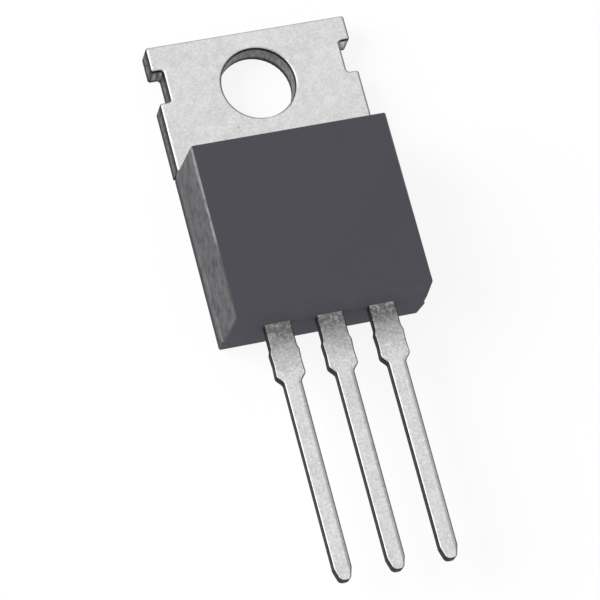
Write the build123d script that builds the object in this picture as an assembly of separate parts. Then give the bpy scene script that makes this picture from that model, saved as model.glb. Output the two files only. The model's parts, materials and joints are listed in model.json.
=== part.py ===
from build123d import *
from math import atan2, degrees, hypot, radians, tan
import os

# Three-lead voltage regulator in a moulded power package, lying on its bare metal back.
# Lengths are millimetres and angles are degrees. +Z is up, out of the front of the case, +Y runs
# towards the mounting tab, and the origin is the centre of the mounting hole in the back plane.

# Whole package, at the line where the two halves of the case meet
package_width = 10.0

# Mounting tab, the part of the heat sink outside the case
tab_inset = 0.02
tab_thickness = 1.3
tab_length = 6.43
hole_to_top = 2.73
hole_diameter = 3.6
notch_depth = 0.57
notch_height = 1.65
notch_to_top = 1.28
notch_corner_radius = 0.16
tab_corner_radius = 0.12
die_roll_radius = 0.15

# Paddle, the part of the heat sink under the case
paddle_side_wall = 0.6
paddle_end_wall = 2.2
lock_ledge = 0.35
lock_height = 0.5
seal_groove_width = 0.5
seal_groove_depth = 0.2
seal_groove_inset = 0.9

# Case
case_thickness = 4.3
case_height = 8.85
parting_step = 0.09
side_draft = 2.6
back_draft = 3.7
top_draft = 1.0
end_draft = 2.5
case_corner_radius = 0.09
front_edge_radius = 0.08

# Leads outside the case
lead_pitch = 2.54
lead_thickness = 0.5
lead_width = 0.86
lead_height = 2.5
lead_length = 12.6
shoulder_width = 1.3
shoulder_length = 2.57
shoulder_taper = 0.33
dam_stub_width = 0.07
dam_stub_height = 1.2
dam_stub_ramp = 0.2
dam_stub_hollow = 0.03
tip_width = 0.5
tip_taper = 0.6
lead_corner_radius = 0.25
lead_edge_radius = 0.1

# Leads inside the case
lead_embed = 0.75
pad_width = 2.4
pad_height = 1.4
lock_hole_diameter = 0.5
crank_start = 0.2
crank_run = 0.85
crank_radius = 0.4

# Die, solder and bond wires
die_width = 2.4
die_height = 2.0
die_thickness = 0.28
die_inset = 3.2
solder_thickness = 0.05
solder_margin = 0.12
wire_diameter = 0.25
wire_foot_length = 0.55
wire_foot_width = 0.32
wire_foot_squash = 0.6
wire_loop_rise = 0.3
wire_rise_share = 0.25

# Places worked out from the sizes above
tab_top_y = hole_to_top
case_top_y = hole_to_top - tab_length
case_end_y = case_top_y - case_height
paddle_width = package_width - 2 * paddle_side_wall
paddle_end_y = case_end_y + paddle_end_wall
lead_tip_y = case_end_y - lead_length
lead_front_z = lead_height + lead_thickness / 2
lead_back_z = lead_height - lead_thickness / 2
lead_inner_y = case_end_y + lead_embed
die_y = case_top_y - die_inset
solder_top_z = tab_thickness + solder_thickness
die_top_z = solder_top_z + die_thickness


def block(x_range, y_range, z_range):
    """A box between two x, two y and two z planes."""
    sizes = [high - low for low, high in (x_range, y_range, z_range)]
    middle = [(low + high) / 2 for low, high in (x_range, y_range, z_range)]
    return Pos(*middle) * Box(*sizes)


def stamped_plate(outline, back_z, front_z):
    """A flat outline in the XY plane, extruded from one height to another."""
    return extrude(Pos(0, 0, back_z) * outline, front_z - back_z)


def mirrored_outline(half_widths):
    """A face that is symmetric about x = 0, from (half width, y) pairs along its right side."""
    right = [(half_width, y) for half_width, y in half_widths]
    left = [(-half_width, y) for half_width, y in reversed(half_widths)]
    return make_face(Polyline(*right, *left, close=True))


def tab_and_paddle():
    """The thick plate: tab with side notches and hole, paddle with its lock ledges and seal groove."""
    tab_edge = package_width / 2 - tab_inset
    notch_edge = tab_edge - notch_depth
    notch_top_y = tab_top_y - notch_to_top
    notch_low_y = notch_top_y - notch_height
    outline = mirrored_outline([
        (tab_edge, tab_top_y),
        (tab_edge, notch_top_y),
        (notch_edge, notch_top_y),
        (notch_edge, notch_low_y),
        (tab_edge, notch_low_y),
        (tab_edge, case_top_y),
        (paddle_width / 2, case_top_y),
        (paddle_width / 2, paddle_end_y),
    ])
    inner = [v for v in outline.vertices() if abs(abs(v.X) - notch_edge) < 1e-6]
    outline = fillet(inner, notch_corner_radius)
    outer = [v for v in outline.vertices() if abs(abs(v.X) - tab_edge) < 1e-6 and v.Y > case_top_y + 1e-6]
    outline = fillet(outer, tab_corner_radius)
    outline -= Circle(hole_diameter / 2)
    plate = stamped_plate(outline, 0, tab_thickness)

    # The punch rolls the front edges of the tab over
    rolled = [
        edge
        for edge in plate.edges()
        if edge.center().Z > tab_thickness - 1e-6 and edge.center().Y > case_top_y + 1e-6
    ]
    plate = fillet(rolled, die_roll_radius)

    # Ledges that the moulding compound runs under, so that the paddle can't lift out of the case
    pad_edge = paddle_width / 2 - lock_ledge
    ledge_z = (0, lock_height)
    for side in (-1, 1):
        x_range = sorted((side * pad_edge, side * paddle_width / 2))
        plate -= block(x_range, (paddle_end_y, case_top_y), ledge_z)
    plate -= block((-pad_edge, pad_edge), (paddle_end_y, paddle_end_y + lock_ledge), ledge_z)

    # Groove across the front, just inside the case, that keeps moisture from the die
    groove_y = case_top_y - seal_groove_inset
    groove = make_face(Polyline(
        (groove_y - seal_groove_width / 2, tab_thickness),
        (groove_y + seal_groove_width / 2, tab_thickness),
        (groove_y, tab_thickness - seal_groove_depth),
        close=True,
    ))
    return plate - extrude(Plane.YZ * groove, paddle_width / 2, both=True)


def straight_lead(x):
    """The straight stretch of a lead, from its tip to just inside the case, front edges rolled.

    Its shoulder ends in the two stubs that are left where the strip's dam bar was cut away, each
    slightly hollow where the cut broke out.
    """
    shoulder_y = case_end_y - shoulder_length
    stub_top_y = shoulder_y + dam_stub_height
    stub_half = shoulder_width / 2 + dam_stub_width
    outline = mirrored_outline([
        (shoulder_width / 2, lead_inner_y),
        (shoulder_width / 2, stub_top_y + dam_stub_ramp),
        (stub_half, stub_top_y),
        (stub_half - dam_stub_hollow, (stub_top_y + shoulder_y) / 2),
        (stub_half, shoulder_y),
        (lead_width / 2, shoulder_y - shoulder_taper),
        (lead_width / 2, lead_tip_y + tip_taper),
        (tip_width / 2, lead_tip_y),
    ])
    corners = [v for v in outline.vertices() if v.Y < shoulder_y + 1e-6]
    outline = fillet(corners, lead_corner_radius)
    lead = stamped_plate(outline, lead_back_z, lead_front_z)
    rolled = [
        edge
        for edge in lead.edges()
        if edge.center().Z > lead_front_z - 1e-6 and edge.center().Y < lead_inner_y - 1e-6
    ]
    return Pos(x, 0, 0) * fillet(rolled, lead_edge_radius)


def crank():
    """The bent neck that joins the middle lead to the paddle, flush with the paddle's front."""
    paddle_z = tab_thickness - lead_thickness / 2
    low_bend_y = paddle_end_y - crank_start
    path = FilletPolyline(
        (0, lead_inner_y, lead_height),
        (0, low_bend_y - crank_run, lead_height),
        (0, low_bend_y, paddle_z),
        (0, paddle_end_y + lock_ledge, paddle_z),
        radius=crank_radius,
    )
    section = Plane(origin=path @ 0, z_dir=path % 0, x_dir=(1, 0, 0))
    return sweep(section * Rectangle(shoulder_width, lead_thickness), path=path)


def heat_sink():
    """Tab, paddle, crank and middle lead, which are stamped and bent from one strip."""
    return tab_and_paddle() + crank() + straight_lead(0)


def outer_lead(side):
    """The lead on one side, -1 for left and 1 for right, with its bonding pad and lock hole."""
    x = side * lead_pitch
    pad_x = (x - pad_width / 2, x + pad_width / 2)
    pad_y = (lead_inner_y, lead_inner_y + pad_height)
    lead = straight_lead(x) + block(pad_x, pad_y, (lead_back_z, lead_front_z))
    hole = Pos(x, lead_inner_y, lead_height) * Cylinder(lock_hole_diameter / 2, 2 * lead_thickness)
    return lead - hole


def die():
    """The silicon die on its solder."""
    return Pos(0, die_y, solder_top_z) * Box(
        die_width, die_height, die_thickness, align=(Align.CENTER, Align.CENTER, Align.MIN)
    )


def die_solder():
    """The solder layer, a little wider than the die all round."""
    return Pos(0, die_y, tab_thickness) * Box(
        die_width + 2 * solder_margin,
        die_height + 2 * solder_margin,
        solder_thickness,
        align=(Align.CENTER, Align.CENTER, Align.MIN),
    )


def bond_wire(start, end, loop_z):
    """A round wire with a flattened foot on each of two pads, at (x, y, z) of the pads' surfaces.

    It runs in the upright plane through both feet: up from the heel of one, across at loop_z and
    down to the heel of the other.
    """
    span = hypot(end[0] - start[0], end[1] - start[1])
    heading = degrees(atan2(end[1] - start[1], end[0] - start[0]))
    foot_height = wire_diameter * wire_foot_squash
    heel = wire_foot_length / 2 - foot_height
    rise = wire_rise_share * (span - 2 * heel)
    path = Polyline(
        (heel, 0, start[2] + foot_height),
        (heel + rise, 0, loop_z),
        (span - heel - rise, 0, loop_z),
        (span - heel, 0, end[2] + foot_height),
    )
    section = Plane(origin=path @ 0, z_dir=path % 0)
    wire = sweep(section * Circle(wire_diameter / 2), path=path, transition=Transition.RIGHT)
    for place, pad_z in ((0, start[2]), (span, end[2])):
        foot = Box(
            wire_foot_length,
            wire_foot_width,
            foot_height,
            align=(Align.CENTER, Align.CENTER, Align.MIN),
        )
        wire += Pos(place, 0, pad_z) * foot
    return Pos(start[0], start[1], 0) * Rot(0, 0, heading) * wire


def case_section(z, width):
    """The case's outline at one height, furthest out at the leads' plane along -Y."""
    top_y = case_top_y - max(z - tab_thickness, 0) * tan(radians(top_draft))
    end_y = case_end_y + abs(z - lead_height) * tan(radians(end_draft))
    return Pos(0, (top_y + end_y) / 2, z) * RectangleRounded(width, top_y - end_y, case_corner_radius)


def case_outside():
    """The two drafted halves of the case, which meet in a small step at the tab's front plane."""

    def width_above(z):
        return package_width - 2 * parting_step - 2 * (z - tab_thickness) * tan(radians(side_draft))

    back_width = package_width - 2 * tab_thickness * tan(radians(back_draft))
    back = loft([case_section(0, back_width), case_section(tab_thickness, package_width)])
    levels = (tab_thickness, lead_height, case_thickness)
    front = loft([case_section(z, width_above(z)) for z in levels], ruled=True)
    front = fillet(front.faces().sort_by(Axis.Z)[-1].edges(), front_edge_radius)
    return back + front


# Bonding places on the die, the leads and the paddle
die_pad_y = die_y - 0.28 * die_height
lead_pad_y = lead_inner_y + 0.5 * pad_height
loop_z = lead_front_z + wire_diameter / 2 + wire_loop_rise
paddle_pad_y = (die_y - die_height / 2 - solder_margin + paddle_end_y) / 2

pieces = {
    "heat_sink": heat_sink(),
    "input_lead": outer_lead(-1),
    "output_lead": outer_lead(1),
    "regulator_die": die(),
    "die_solder": die_solder(),
    "input_bond_wire": bond_wire(
        (-0.35 * die_width, die_pad_y, die_top_z), (-lead_pitch, lead_pad_y, lead_front_z), loop_z
    ),
    "output_bond_wire": bond_wire(
        (0.35 * die_width, die_pad_y, die_top_z),
        (lead_pitch + 0.25 * pad_width, lead_pad_y, lead_front_z),
        loop_z,
    ),
    "sense_bond_wire": bond_wire(
        (0.12 * die_width, die_pad_y, die_top_z),
        (lead_pitch - 0.2 * pad_width, lead_pad_y, lead_front_z),
        loop_z,
    ),
    "ground_bond_wire": bond_wire(
        (-0.12 * die_width, die_pad_y, die_top_z),
        (-0.12 * die_width, paddle_pad_y, tab_thickness),
        die_top_z + wire_diameter / 2 + wire_loop_rise,
    ),
}

# The compound is moulded round everything else, so every inner face of the case is one of theirs
case = case_outside()
for piece in pieces.values():
    case -= piece
pieces["moulded_case"] = case

os.makedirs("parts", exist_ok=True)
for name, piece in pieces.items():
    export_step(piece, f"parts/{name}.step")
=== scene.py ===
import json

import bpy
import numpy as np
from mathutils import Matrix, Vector


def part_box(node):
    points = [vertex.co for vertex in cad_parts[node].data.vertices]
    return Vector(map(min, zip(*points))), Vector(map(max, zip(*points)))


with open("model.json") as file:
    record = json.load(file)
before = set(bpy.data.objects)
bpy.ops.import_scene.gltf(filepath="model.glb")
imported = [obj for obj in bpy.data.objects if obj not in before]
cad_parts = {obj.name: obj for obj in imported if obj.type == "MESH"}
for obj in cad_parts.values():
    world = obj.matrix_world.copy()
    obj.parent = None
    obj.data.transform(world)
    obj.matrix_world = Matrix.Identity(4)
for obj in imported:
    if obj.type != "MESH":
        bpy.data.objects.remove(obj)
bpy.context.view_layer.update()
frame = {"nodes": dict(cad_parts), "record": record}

MM = 0.001


# Writing shaders

class Wire:
    """One output socket of a finish's node tree. Arithmetic on it adds Math nodes."""

    def __init__(self, finish, socket):
        self.finish = finish
        self.socket = socket

    def math(self, operation, *values):
        """A Math node of one operation on one or two values or links, in that order."""
        slots = dict(zip(("Value", "Value_001"), values))
        return self.finish.node("ShaderNodeMath", {"operation": operation}, slots)

    def __add__(self, other):
        return self.math("ADD", self, other)

    def __radd__(self, other):
        return self.math("ADD", other, self)

    def __sub__(self, other):
        return self.math("SUBTRACT", self, other)

    def __rsub__(self, other):
        return self.math("SUBTRACT", other, self)

    def __mul__(self, other):
        return self.math("MULTIPLY", self, other)

    def __rmul__(self, other):
        return self.math("MULTIPLY", other, self)

    def __abs__(self):
        return self.math("ABSOLUTE", self)

    def most(self, other):
        """The larger of this and another."""
        return self.math("MAXIMUM", self, other)

    def step(self, low, high):
        """0 below low and 1 above high, with a smooth S between them. High may be the lower one."""
        return self.finish.node(
            "ShaderNodeMapRange", {"interpolation_type": "SMOOTHSTEP", "clamp": True},
            {"Value": self, "From Min": min(low, high), "From Max": max(low, high),
             "To Min": float(low > high), "To Max": float(low <= high)})

    def wrapped(self, pitch):
        """What is left over whole pitches: it runs from 0 to the pitch, again and again."""
        return self.math("FLOORED_MODULO", self, pitch)

    def near(self, value, reach):
        """1 at a value, and down to 0 at a distance of reach from it."""
        return abs(self - value).step(reach, 0.0)

    def xyz(self):
        """The three numbers of a vector, each as a wire."""
        parts = self.finish.node("ShaderNodeSeparateXYZ", {}, {"Vector": self})
        return [Wire(self.finish, out) for out in parts.socket.node.outputs]

    def scaled(self, *by):
        """The vector with each of its three numbers multiplied."""
        return self.finish.node("ShaderNodeVectorMath", {"operation": "MULTIPLY"},
                                {"Vector": self, "Vector_001": by})


class Finish:
    """The node tree of a material or a world, and the one way that nodes are added to it."""

    def __init__(self, owner):
        owner.use_nodes = True
        self.owner = owner
        self.tree = owner.node_tree
        self.tree.nodes.clear()

    def node(self, kind, settings, sockets, out=0):
        """Adds a node of a kind: its settings first, then the values or links of its sockets."""
        node = self.tree.nodes.new(kind)
        for name, value in settings.items():
            setattr(node, name, value)
        inputs = {socket.identifier: socket for socket in node.inputs}
        for name, value in sockets.items():
            if isinstance(value, Wire):
                self.tree.links.new(value.socket, inputs[name])
            else:
                inputs[name].default_value = value
        if not node.outputs:
            return None
        named = {socket.identifier: socket for socket in node.outputs}
        return Wire(self, named[out] if isinstance(out, str) else node.outputs[out])

    def place(self):
        """The point on the object, in millimetres."""
        here = self.node("ShaderNodeTexCoord", {}, {}, "Object")
        return here.scaled(1 / MM, 1 / MM, 1 / MM)

    def facing(self):
        """The way the surface faces, in the object's own frame."""
        return self.node("ShaderNodeTexCoord", {}, {}, "Normal")

    def shown(self):
        """1 where the surface is looked at, straight, mirrored or through glass, and 0 where it
        only gives light.
        """
        looks = [self.node("ShaderNodeLightPath", {}, {}, name) for name in
                 ("Is Camera Ray", "Is Glossy Ray", "Is Transmission Ray")]
        return looks[0].most(looks[1]).most(looks[2])

    def noise(self, at, size, detail=3.0, roughness=0.5, distortion=0.0):
        """Cloudy noise between 0 and 1 with features of about one size, in millimetres."""
        return self.node("ShaderNodeTexNoise", {},
                         {"Vector": at, "Scale": 1.0 / size, "Detail": detail,
                          "Roughness": roughness, "Distortion": distortion})

    def cells(self, at, size):
        """Distance from the nearest of many scattered points, one per size."""
        return self.node("ShaderNodeTexVoronoi", {}, {"Vector": at, "Scale": 1.0 / size})

    def blend(self, share, first, second):
        """Colour that runs from the first to the second as share goes from 0 to 1."""
        return self.node("ShaderNodeMix", {"data_type": "RGBA"},
                         {"Factor_Float": share, "A_Color": (*first, 1.0),
                          "B_Color": (*second, 1.0)}, "Result_Color")

    def tint(self, colour, strength):
        """A colour made lighter or darker by a wire of strength."""
        grey = self.node("ShaderNodeCombineXYZ", {},
                         {"X": strength, "Y": strength, "Z": strength})
        return self.node("ShaderNodeVectorMath", {"operation": "MULTIPLY"},
                         {"Vector": grey, "Vector_001": colour})

    def relief(self, height, depth):
        """The normal of a bump whose height of 1 stands for a depth in millimetres."""
        return self.node("ShaderNodeBump", {}, {"Height": height, "Distance": depth * MM})

    def surface(self, **sockets):
        """The Principled shader and the material's output. Names have _ for a space."""
        named = {name.replace("_", " "): value for name, value in sockets.items()}
        shader = self.node("ShaderNodeBsdfPrincipled", {}, named)
        self.node("ShaderNodeOutputMaterial", {}, {"Surface": shader})
        return self.owner


# Places on the part, in millimetres

MOUNTS = {mount["name"]: mount for mount in frame["record"]["mounts"]}
CASE_LOW, CASE_HIGH = [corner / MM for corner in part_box("moulded_case")]
CASE_END = CASE_LOW.y                 # the case's lower end, where the leads come out
CASE_FRONT = CASE_HIGH.z
PARTING = 1.3                         # z where the halves of the mould meet, and the tab's front
TAB_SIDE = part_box("heat_sink")[1].x / MM
NOTCHES = 4.2                         # x past which the tab has only its side notches
HOLE_RADIUS = MOUNTS["mounting_hole"]["dims"]["r_mm"]
LEAD_PITCH = MOUNTS["output_lead_tip"]["pos_m"][0] / MM
LEAD_HALF_WIDTH = 0.43
SHOULDER_END = CASE_END - 2.57        # where the leads' wide shoulders start to taper


# Finishes. Lengths are millimetres, and a strength of 1 is white.

def painted_edge_shade(f, at, sheared):
    """How much light is left on the stamped metal's front edges, as painted shade.

    The rolled edges that face right, away from the lamp, get the most painted shade. Those that
    face left get a little, which dims the lamp's highlight on them. So does a band along the right
    edge of each lead below its shoulder.
    """
    x, y = at.xyz()[:2]
    nx, ny, nz = f.facing().xyz()
    rolled = abs(nz).step(0.998, 0.93) * (1 - sheared)
    to_right = (nx * 0.9 + ny * 0.25).step(0.06, 0.38) * rolled
    to_left = nx.step(-0.05, -0.30) * rolled
    across = (x + 1.5 * LEAD_PITCH).wrapped(LEAD_PITCH) - 0.5 * LEAD_PITCH
    band = across.step(LEAD_HALF_WIDTH - 0.24, LEAD_HALF_WIDTH - 0.12)
    band = band * y.step(SHOULDER_END, SHOULDER_END - 0.5) * nz.step(0.0, 0.3)
    # Painted shade on the rolled edges and on the bands along the leads' right edges.
    return (1 - 0.64 * to_right) * (1 - 0.35 * to_left) * (1 - 0.44 * band)


def lead_residue_and_painted_light(f, at, on_lead, mottle, patch):
    """Four masks on the leads below the case.

    They are painted shade that fades out over 3 mm below the case, a residue over the first 1.3 mm,
    the spatter that breaks it up, and a painted highlight along a pale rim right at the case.
    Their borders are ragged.
    """
    below = CASE_END - at.xyz()[1]
    ragged = below + 1.3 * (mottle - 0.5) + 0.9 * (patch - 0.5)
    # Painted shade below the case, lighter over its first 0.7 mm.
    painted_case_shade = on_lead * ragged.step(3.0, 0.25) * (1 - 0.18 * below.step(0.7, 0.1))
    residue = on_lead * ragged.step(1.3, 0.1)
    spatter = f.noise(at, 0.15, detail=3.0, roughness=0.7).step(0.42, 0.68)
    # Painted highlight along a pale rim right at the case.
    painted_rim_highlight = on_lead * (below + 0.25 * mottle).step(0.34, 0.20) * (0.5 + spatter)
    return painted_case_shade, residue, spatter, painted_rim_highlight


def painted_wall_light_and_shade(f, at, on_lead):
    """How light the stamped metal's walls are: nearly black, which is painted shade, with a torn and
    paler band along the middle of the tab's. The dark rim at the walls' back is painted shadow.

    The band is wider and paler in the hole and on the notches' upper walls, and palest in the
    right notch, which is painted light. In the notches it stops short of the tab's sides.
    """
    x, y, z = at.xyz()
    ny = f.facing().xyz()[1]
    bore = (x * x + y * y).step(1.15 * HOLE_RADIUS ** 2, 1.10 * HOLE_RADIUS ** 2)
    notch = abs(x).step(NOTCHES, NOTCHES + 0.2) * ny.step(-0.4, -0.8)
    outer = notch * abs(x).step(TAB_SIDE - 0.20, TAB_SIDE - 0.06)
    reach = 0.24 * bore.most(notch)
    # Outside the band the wall keeps its painted dark, and at the back rim this is painted shadow.
    band = (z + reach - 0.11 * bore).step(0.32, 0.52) * (z - reach).step(0.92, 0.74)
    band = band * (1 - on_lead) * (1 - 0.9 * outer)
    # Painted light: the band is paler in the hole, which lies in shadow, and in the notches, most in
    # the right one.
    pale = 0.094 + 0.086 * bore + (0.106 + 0.24 * x.step(-1.0, 1.0)) * notch
    tears = f.noise(at.scaled(1.0, 1.0, 0.4), 0.17, detail=3.0, roughness=0.6).step(0.32, 0.68)
    torn = 1 + 1.24 * (tears - 0.5) * (1 - 0.5 * bore)
    # The nearly black walls are painted shade.
    return (0.016 - 0.004 * on_lead + pale * band) * torn


def tin_plate():
    """Matte tin over copper: pale grey metal with a fine mottle, a few pits and faint scratches,
    dull edges, dark sheared walls, and dirt on the leads below the case.
    """
    f = Finish(bpy.data.materials.new("tin_plate"))
    at = f.place()
    on_lead = at.xyz()[1].step(CASE_END + 0.1, CASE_END - 0.1)
    sheared = abs(f.facing().xyz()[2]).step(0.90, 0.55)

    mottle = f.noise(at, 0.12, detail=4.0, roughness=0.6)
    patch = f.noise(at, 0.42, detail=2.0, distortion=0.6)
    cloud = f.noise(at, 1.9, detail=3.0, distortion=0.4)
    grain = f.noise(at, 0.045, detail=2.0)
    hairs = f.noise(at.scaled(0.07, 1.0, 1.0), 0.10, detail=2.0).near(0.5, 0.035)
    scratch = hairs * f.noise(at, 0.9).step(0.48, 0.66)
    pits = f.cells(at, 0.55).step(0.16, 0.05) * f.noise(at, 1.1).step(0.50, 0.62)
    painted_case_shade, residue, spatter, painted_rim_highlight = lead_residue_and_painted_light(f, at, on_lead, mottle, patch)

    light = (0.31 + 0.38 * mottle + 0.20 * patch + 0.10 * cloud
             + 0.09 * scratch - 0.20 * pits + on_lead * (0.18 * mottle - 0.10))
    # Painted shade on the rolled edges.
    light = light * painted_edge_shade(f, at, sheared)
    # Painted shade below the case, the residue's blotches, and the painted highlight at the case.
    light = light * (1 - 0.50 * painted_case_shade) * (1 + 1.2 * residue * (spatter - 0.27)) + 0.25 * painted_rim_highlight
    # The walls' painted light and shade.
    wall = painted_wall_light_and_shade(f, at, on_lead)
    colour = f.tint((1.0, 0.997, 0.995), light * (1 - sheared) + wall * sheared)
    roughness = 0.34 + 0.14 * mottle + 0.05 * cloud + 0.12 * sheared + 0.10 * painted_case_shade
    bump = f.relief(0.6 * mottle + 0.4 * grain + 0.3 * scratch - 0.5 * pits, 0.006)
    return f.surface(Base_Color=colour, Roughness=roughness, Metallic=1 - 0.65 * residue,
                     Normal=bump)


def moulding_compound():
    """Black filled epoxy with a blue cast: smooth on its front and back, duller on its ends, and
    mottled on its two long sides, where the mould is left as the spark cut it. The ends are paler
    as painted light, and the sides are paler partly as painted light.

    The sides darken towards the back, as painted shade. Their front edges carry a painted
    highlight except near the leads, and so does the ledge where the two halves of the mould meet,
    most near the leads.
    """
    f = Finish(bpy.data.materials.new("moulding_compound"))
    at = f.place()
    y, z = at.xyz()[1:]
    nx, ny, nz = f.facing().xyz()
    above_end = y - CASE_END
    below_front = CASE_FRONT - z

    cloud = f.noise(at, 2.6, detail=3.0)
    grain = f.noise(at, 0.09, detail=3.0, roughness=0.6)
    rub = f.noise(at, 0.50, detail=3.0, roughness=0.55, distortion=0.5)

    side = abs(nx).step(0.80, 0.98)
    end = abs(ny).step(0.40, 0.89)
    rounding = abs(nx).step(0.15, 0.35) * abs(nz).step(0.20, 0.45) * below_front.step(0.8, 0.3)
    edge = rounding.most(side * below_front.step(0.28, 0.14))
    ledge = nz.step(0.5, 0.9) * z.step(PARTING + 0.4, PARTING + 0.1)
    # Painted highlights: along the sides' front edges except near the leads, and on the ledge, most
    # near the leads.
    painted_edge_highlight = edge * above_end.step(2.75, 4.35) * (0.50 + 0.50 * rub.step(0.34, 0.56))
    painted_ledge_highlight = ledge * (0.35 + 0.65 * above_end.step(3.95, 2.95)) * rub.step(0.30, 0.60)

    smooth = 0.060 + 0.006 * cloud + 0.004 * grain
    # The long sides are mottled, and paler than the front partly as painted light.
    rough = 0.104 + 0.26 * (rub - 0.5) + 0.06 * (grain - 0.5) + 0.05 * (cloud - 0.5)
    # Painted shade: the sides darken towards the back.
    rough = rough * (0.08 + 0.92 * z.step(0.52, 0.86))
    # Painted light on the ends, and painted highlights on the front edges and the ledge.
    strength = (smooth * (1 - side) + rough * side + 0.102 * end
                + 0.20 * painted_edge_highlight + 0.10 * ledge + 0.13 * painted_ledge_highlight)
    greyer = side.most(edge).most(ledge)
    colour = f.tint(f.blend(greyer, (1.01, 0.975, 1.21), (0.99, 0.975, 1.05)), strength)
    roughness = 0.56 + 0.10 * grain + 0.04 * cloud + 0.08 * side + 0.12 * end - 0.10 * painted_edge_highlight
    bump = f.relief(grain + 1.4 * side * rub, 0.005)
    return f.surface(Base_Color=colour, Roughness=roughness, Specular_IOR_Level=0.35,
                     Normal=bump)


def silicon():
    """Passivated chip face: dark blue-grey, nearly smooth."""
    f = Finish(bpy.data.materials.new("silicon"))
    at = f.place()
    cloud = f.noise(at, 0.5, detail=2.0)
    colour = f.blend(cloud, (0.035, 0.045, 0.075), (0.06, 0.07, 0.10))
    bump = f.relief(f.noise(at, 0.03), 0.0006)
    return f.surface(Base_Color=colour, Roughness=0.18 + 0.08 * cloud, Normal=bump)


def solder():
    """Die solder: dull grey metal with a coarse frozen grain."""
    f = Finish(bpy.data.materials.new("solder"))
    grain = f.cells(f.place(), 0.12)
    colour = f.blend(grain, (0.30, 0.30, 0.31), (0.46, 0.46, 0.47))
    bump = f.relief(grain, 0.004)
    return f.surface(Base_Color=colour, Metallic=1.0, Roughness=0.42 + 0.2 * grain, Normal=bump)


def aluminium_wire():
    """Drawn aluminium bond wire: bright, with fine die lines."""
    f = Finish(bpy.data.materials.new("aluminium_wire"))
    lines = f.noise(f.place().scaled(1.0, 0.1, 1.0), 0.02, detail=2.0)
    colour = f.blend(lines, (0.78, 0.79, 0.81), (0.88, 0.88, 0.89))
    bump = f.relief(lines, 0.0006)
    return f.surface(Base_Color=colour, Metallic=1.0, Roughness=0.28 + 0.1 * lines, Normal=bump)


FINISHES = {make.__name__: make() for make in
            (tin_plate, moulding_compound, silicon, solder, aluminium_wire)}
for subpart in frame["record"]["subparts"]:
    mesh = frame["nodes"][subpart["node"]].data
    mesh.materials.clear()
    mesh.materials.append(FINISHES[subpart["material_slot"]])


# Studio. Lengths are metres, apart from the lens and its sensor, which are millimetres.

FLOOR_WIDTH = 6.0
FLOOR_DROP = 0.00002       # below the tab's back, so that the two don't lie in one plane
FLOOR_PAPER = 0.15         # how light the floor is under the lamp
FLOOR_GLOW = 0.88          # added to it where it is looked at, so that it shows white
ROOM_LIGHT = 0.40          # the world as a light. Where it is looked at, it is 1.
KEY_PLACE = (-0.40, 0.12, 0.27)
KEY_AIM = (0.0, -0.011, 0.002)
KEY_WIDTH = 0.36
KEY_RADIANCE = 5.5
EYE_PLACE = (-0.0415234, -0.0622001, 0.1559181)
EYE_TURN = (0.3632879, -0.1698250, -0.2546964)
EYE_REACH = (0.01, 50.0)   # nearest and farthest point that it sees
LENS = 214.82
SENSOR = 36.0


def floor():
    """A flat square sheet just below the tab's back: a grid of x and y, at one z."""
    span = np.linspace(-FLOOR_WIDTH / 2, FLOOR_WIDTH / 2, 3)
    x, y = np.meshgrid(span, span, indexing="ij")
    corners = np.stack([x, y, np.full_like(x, -FLOOR_DROP)], axis=-1).reshape(-1, 3)
    i = np.arange(x.size).reshape(x.shape)
    faces = np.stack([i[:-1, :-1], i[1:, :-1], i[1:, 1:], i[:-1, 1:]], axis=-1).reshape(-1, 4)
    mesh = bpy.data.meshes.new("floor")
    mesh.from_pydata(corners.tolist(), [], faces.tolist())
    mesh.materials.append(white_paper())
    piece = bpy.data.objects.new("floor", mesh)
    bpy.context.scene.collection.objects.link(piece)


def white_paper():
    """The floor's finish: paper that takes a faint shadow, and shows white where it is looked at."""
    f = Finish(bpy.data.materials.new("white_paper"))
    paper = f.noise(f.place(), 40.0)
    diffuse = f.node("ShaderNodeBsdfDiffuse", {},
                     {"Color": f.tint((1.0, 1.0, 1.0), FLOOR_PAPER + 0.01 * paper)})
    glow = f.node("ShaderNodeEmission", {},
                  {"Color": (1, 1, 1, 1), "Strength": f.shown() * FLOOR_GLOW})
    both = f.node("ShaderNodeAddShader", {}, {"Shader": diffuse, "Shader_001": glow})
    f.node("ShaderNodeOutputMaterial", {}, {"Surface": both})
    return f.owner


def surroundings():
    """The world: plain white where it is looked at, and softer as a light."""
    world = bpy.data.worlds.new("white_room")
    bpy.context.scene.world = world
    f = Finish(world)
    strength = ROOM_LIGHT + (1 - ROOM_LIGHT) * f.shown()
    back = f.node("ShaderNodeBackground", {}, {"Color": (1, 1, 1, 1), "Strength": strength})
    f.node("ShaderNodeOutputWorld", {}, {"Surface": back})


def softbox(name, place, aim, width, radiance):
    """A square area lamp that faces a point. Its power gives the radiance that is asked for."""
    lamp = bpy.data.lights.new(name, "AREA")
    lamp.shape = "SQUARE"
    lamp.size = width
    lamp.energy = radiance * np.pi * width * width
    piece = bpy.data.objects.new(name, lamp)
    bpy.context.scene.collection.objects.link(piece)
    piece.location = place
    piece.rotation_euler = (Vector(aim) - Vector(place)).to_track_quat("-Z", "Y").to_euler()


def camera():
    """The photograph's viewpoint, fitted to the object's own corners: a long lens at 17 cm."""
    lens = bpy.data.cameras.new("camera")
    lens.sensor_width = SENSOR
    lens.lens = LENS
    lens.clip_start, lens.clip_end = EYE_REACH
    piece = bpy.data.objects.new("camera", lens)
    bpy.context.scene.collection.objects.link(piece)
    piece.location = EYE_PLACE
    piece.rotation_euler = EYE_TURN
    bpy.context.scene.camera = piece


floor()
surroundings()
softbox("key_left", KEY_PLACE, KEY_AIM, KEY_WIDTH, KEY_RADIANCE)
camera()
bpy.context.scene.view_settings.view_transform = "Standard"
